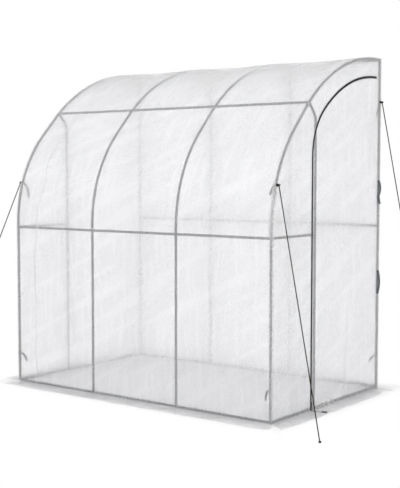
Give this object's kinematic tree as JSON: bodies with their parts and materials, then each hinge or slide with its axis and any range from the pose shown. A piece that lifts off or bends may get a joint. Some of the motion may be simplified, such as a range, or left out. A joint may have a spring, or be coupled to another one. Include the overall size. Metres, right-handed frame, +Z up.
{
  "type": "lean-to greenhouse",
  "caption": "Walk-in lean-to greenhouse: a bent-tube frame with a curved roof under a clear film cover, a zipped door flap in one end, ground skirts and guy ropes.",
  "frame": {"origin": "on the ground, at the middle of the footprint with its skirts", "axes": "+X along the wall towards the zipped end, +Y towards the wall, +Z up"},
  "size_m": [2.92, 1.4812, 2.1102],
  "materials": {
    "frame_steel": "grey powder-coated steel tube",
    "cover_film": "clear reinforced film with a fine woven grid",
    "zip_tape": "black zip tape",
    "zip_metal": "black lacquered zip slider",
    "ribbon": "dark grey-green ribbon",
    "webbing": "black webbing",
    "rope": "olive-grey twisted rope"
  },
  "bodies": {
    "frame_and_cover": {"back_base_rail_1": "frame_steel", "back_base_rail_2": "frame_steel", "back_base_rail_3": "frame_steel", "back_mid_rail_1": "frame_steel", "back_mid_rail_2": "frame_steel", "back_mid_rail_3": "frame_steel", "back_post_1": "frame_steel", "back_post_2": "frame_steel", "back_post_3": "frame_steel", "back_post_4": "frame_steel", "back_top_rail_1": "frame_steel", "back_top_rail_2": "frame_steel", "back_top_rail_3": "frame_steel", "cover_back": "cover_film", "cover_front_and_roof": "cover_film", "cover_left_end": "cover_film", "cover_right_end": "cover_film", "cover_ties": "ribbon", "door_straps": "ribbon", "front_base_rail_1": "frame_steel", "front_base_rail_2": "frame_steel", "front_base_rail_3": "frame_steel", "front_mid_rail_1": "frame_steel", "front_mid_rail_2": "frame_steel", "front_mid_rail_3": "frame_steel", "front_upright_1": "frame_steel", "front_upright_2": "frame_steel", "front_upright_3": "frame_steel", "front_upright_4": "frame_steel", "guy_rope_back_right": "rope", "guy_rope_front_left": "rope", "guy_rope_front_right": "rope", "guy_tab_back_right": "webbing", "guy_tab_front_left": "webbing", "guy_tab_front_right": "webbing", "left_base_rail_back": "frame_steel", "left_base_rail_front": "frame_steel", "left_door_post": "frame_steel", "left_mid_rail": "frame_steel", "right_base_rail_back": "frame_steel", "right_base_rail_front": "frame_steel", "right_door_post": "frame_steel", "right_mid_rail": "frame_steel", "roof_bow_1": "frame_steel", "roof_bow_2": "frame_steel", "roof_bow_3": "frame_steel", "roof_bow_4": "frame_steel", "roof_rail_1": "frame_steel", "roof_rail_2": "frame_steel", "roof_rail_3": "frame_steel", "zip_row_fixed": "zip_tape"},
    "door": {"door_flap": "cover_film", "zip_row_door": "zip_tape"},
    "slider": {"zip_slider": "zip_metal"},
    "pull": {"zip_pull": "zip_metal"}
  },
  "joints": [
    {"name": "door_hinge", "type": "hinge", "parent": "frame_and_cover", "child": "door", "pos_m": [1.0102, 0.6275, 0], "axis": [0, 0, 1], "range_deg": [0, 70]},
    {"name": "zip_slide", "type": "slide", "parent": "frame_and_cover", "child": "slider", "axis": [0, 0, 1], "range_m": [0, 1.4]},
    {"name": "pull_hinge", "type": "hinge", "parent": "slider", "child": "pull", "pos_m": [1.0167, -0.14492, 0.05], "axis": [0, -1, 0], "range_deg": [0, 150]}
  ]
}
